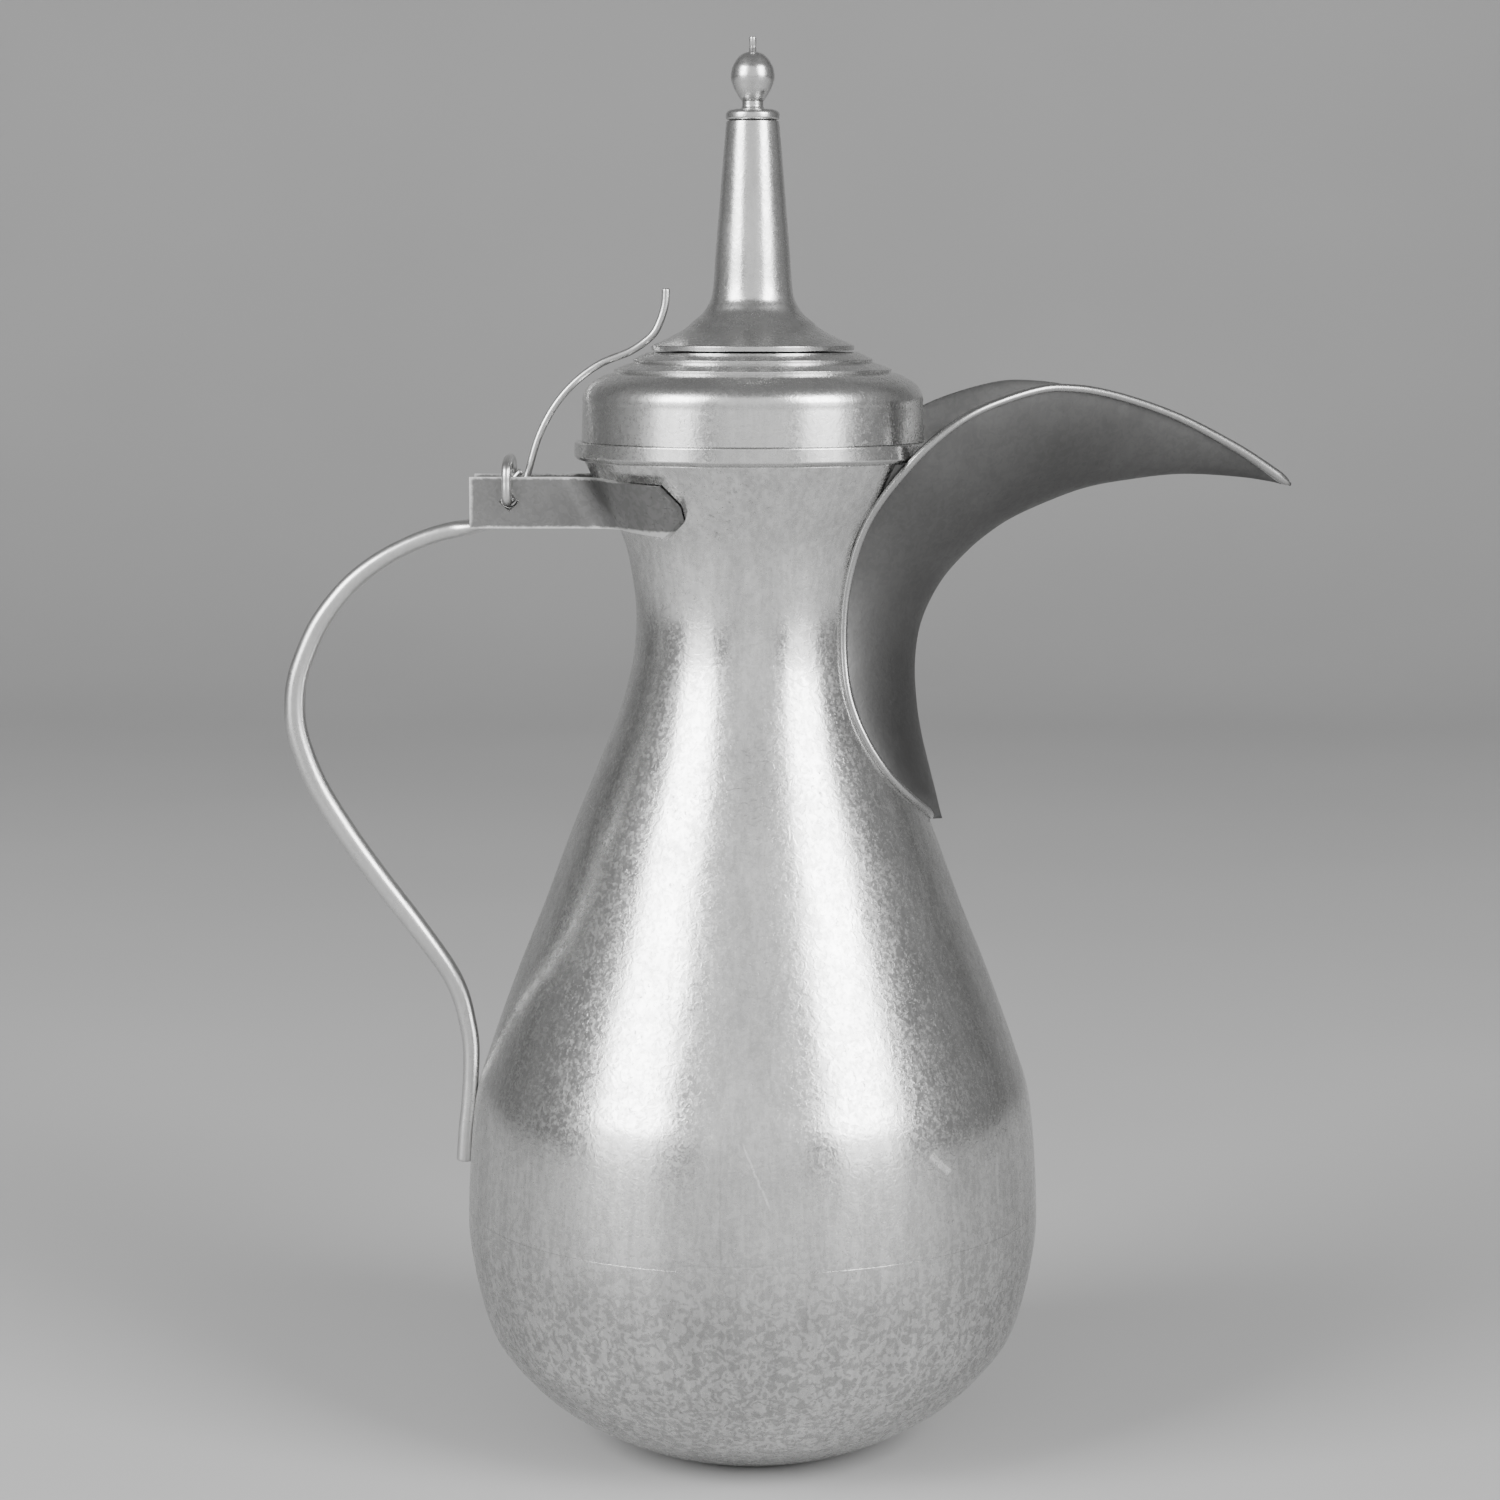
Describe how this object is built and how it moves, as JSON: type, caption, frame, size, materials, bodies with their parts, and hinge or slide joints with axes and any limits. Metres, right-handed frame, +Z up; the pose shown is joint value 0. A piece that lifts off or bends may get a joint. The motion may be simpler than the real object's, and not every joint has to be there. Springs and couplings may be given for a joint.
{
  "type": "dallah coffee pot",
  "caption": "Tall waisted metal coffee pot with a crescent beak spout, a bent rod handle and a hinged domed lid with a spire and finial.",
  "frame": {"origin": "centre of the base's flat underside, on the axis of the pot", "axes": "+Z up along the pot's axis; +X towards the spout, the handle is at -X; the lid's hinge pin runs along Y"},
  "size_m": [0.2162, 0.1226, 0.3004],
  "materials": {
    "pot_silver": "worn satin silver-coloured metal, finely mottled and pitted",
    "lid_silver": "worn satin silver-coloured metal with brighter highlights",
    "spout_silver": "darker satin silver-coloured metal with a bright wire edge",
    "fittings_silver": "hand-filed satin metal with worn bright edges",
    "inner_silver": "dull uncleaned metal"
  },
  "bodies": {
    "pot": {"bowl_shell": "pot_silver", "neck_shell": "pot_silver", "mouth_band": "pot_silver", "spout_trough": "spout_silver", "spout_bead_near": "spout_silver", "spout_bead_far": "spout_silver", "hinge_strap_near": "fittings_silver", "hinge_strap_far": "fittings_silver", "handle_rod": "fittings_silver"},
    "link": {"hinge_link": "fittings_silver"},
    "lid": {"lid_cap": "lid_silver", "lid_skirt": "inner_silver", "lid_arm": "fittings_silver", "spire": "lid_silver", "finial_collar": "lid_silver", "finial_stem": "lid_silver", "finial_knob": "lid_silver", "tie_rod": "inner_silver", "rod_washer": "inner_silver", "rod_nut": "inner_silver"}
  },
  "joints": [
    {"name": "lid_hinge", "type": "hinge", "parent": "pot", "child": "lid", "pos_m": [-0.0514, 0, 0.2041], "axis": [0, -1, 0], "range_deg": [0, 51]},
    {"name": "link_tilt", "type": "hinge", "parent": "pot", "child": "link", "pos_m": [-0.0514, 0, 0.2041], "axis": [0, -1, 0], "range_deg": [0, 35.7]}
  ],
  "couplings": [
    {"joint": "link_tilt", "follows": "lid_hinge", "ratio": 0.7}
  ]
}
